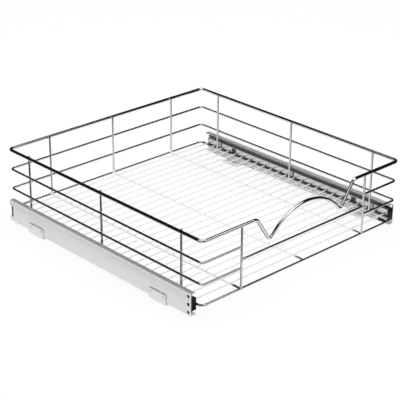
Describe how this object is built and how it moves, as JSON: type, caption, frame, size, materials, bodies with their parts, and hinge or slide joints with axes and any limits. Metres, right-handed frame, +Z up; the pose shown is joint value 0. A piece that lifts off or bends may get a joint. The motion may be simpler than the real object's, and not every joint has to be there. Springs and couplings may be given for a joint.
{
  "type": "pull-out wire basket",
  "caption": "Low chrome wire pull-out basket with a scooped front and arched handle, on side-mounted full-extension ball-bearing slides with screw-down feet for a cupboard floor.",
  "frame": {"origin": "on the cupboard floor, under the middle of the footprint", "axes": "+Z up, -Y towards the front that the basket is pulled out of, +X to the right as seen from the front"},
  "size_m": [0.5322, 0.536, 0.146],
  "materials": {
    "chrome_wire": "bright chrome plating on steel wire",
    "zinc_steel": "satin zinc plating on rolled steel sheet",
    "ball_steel": "polished steel",
    "black_plastic": "moulded, matt"
  },
  "bodies": {
    "cabinet_side": {"left_cabinet_member": "zinc_steel", "left_front_foot": "zinc_steel", "left_rear_foot": "zinc_steel", "left_foot_rivets": "zinc_steel", "left_rear_bumper": "black_plastic", "right_cabinet_member": "zinc_steel", "right_front_foot": "zinc_steel", "right_rear_foot": "zinc_steel", "right_foot_rivets": "zinc_steel", "right_rear_bumper": "black_plastic"},
    "basket": {"top_rim": "chrome_wire", "upper_rail": "chrome_wire", "lower_rail": "chrome_wire", "front_wire": "chrome_wire", "base_ring": "chrome_wire", "left_hoop": "chrome_wire", "middle_hoop": "chrome_wire", "right_hoop": "chrome_wire", "left_uprights": "chrome_wire", "right_uprights": "chrome_wire", "front_uprights": "chrome_wire", "floor_wires": "chrome_wire", "left_drawer_member": "zinc_steel", "left_drawer_plug": "black_plastic", "right_drawer_member": "zinc_steel", "right_drawer_plug": "black_plastic"},
    "left_middle": {"left_middle_member": "zinc_steel", "left_front_bumper": "black_plastic"},
    "left_outer_cage": {"left_outer_retainer": "zinc_steel", "left_outer_balls": "ball_steel"},
    "left_inner_cage": {"left_inner_retainer": "zinc_steel", "left_inner_balls": "ball_steel"},
    "right_middle": {"right_middle_member": "zinc_steel", "right_front_bumper": "black_plastic"},
    "right_outer_cage": {"right_outer_retainer": "zinc_steel", "right_outer_balls": "ball_steel"},
    "right_inner_cage": {"right_inner_retainer": "zinc_steel", "right_inner_balls": "ball_steel"}
  },
  "joints": [
    {"name": "basket_slide", "type": "slide", "parent": "cabinet_side", "child": "basket", "axis": [0, -1, 0], "range_m": [0, 0.48]},
    {"name": "left_middle_slide", "type": "slide", "parent": "cabinet_side", "child": "left_middle", "axis": [0, -1, 0], "range_m": [0, 0.24]},
    {"name": "left_outer_cage_slide", "type": "slide", "parent": "cabinet_side", "child": "left_outer_cage", "axis": [0, -1, 0], "range_m": [0, 0.12]},
    {"name": "left_inner_cage_slide", "type": "slide", "parent": "cabinet_side", "child": "left_inner_cage", "axis": [0, -1, 0], "range_m": [0, 0.36]},
    {"name": "right_middle_slide", "type": "slide", "parent": "cabinet_side", "child": "right_middle", "axis": [0, -1, 0], "range_m": [0, 0.24]},
    {"name": "right_outer_cage_slide", "type": "slide", "parent": "cabinet_side", "child": "right_outer_cage", "axis": [0, -1, 0], "range_m": [0, 0.12]},
    {"name": "right_inner_cage_slide", "type": "slide", "parent": "cabinet_side", "child": "right_inner_cage", "axis": [0, -1, 0], "range_m": [0, 0.36]}
  ],
  "couplings": [
    {"joint": "left_middle_slide", "follows": "basket_slide", "ratio": 0.5},
    {"joint": "left_outer_cage_slide", "follows": "basket_slide", "ratio": 0.25},
    {"joint": "left_inner_cage_slide", "follows": "basket_slide", "ratio": 0.75},
    {"joint": "right_middle_slide", "follows": "basket_slide", "ratio": 0.5},
    {"joint": "right_outer_cage_slide", "follows": "basket_slide", "ratio": 0.25},
    {"joint": "right_inner_cage_slide", "follows": "basket_slide", "ratio": 0.75}
  ]
}
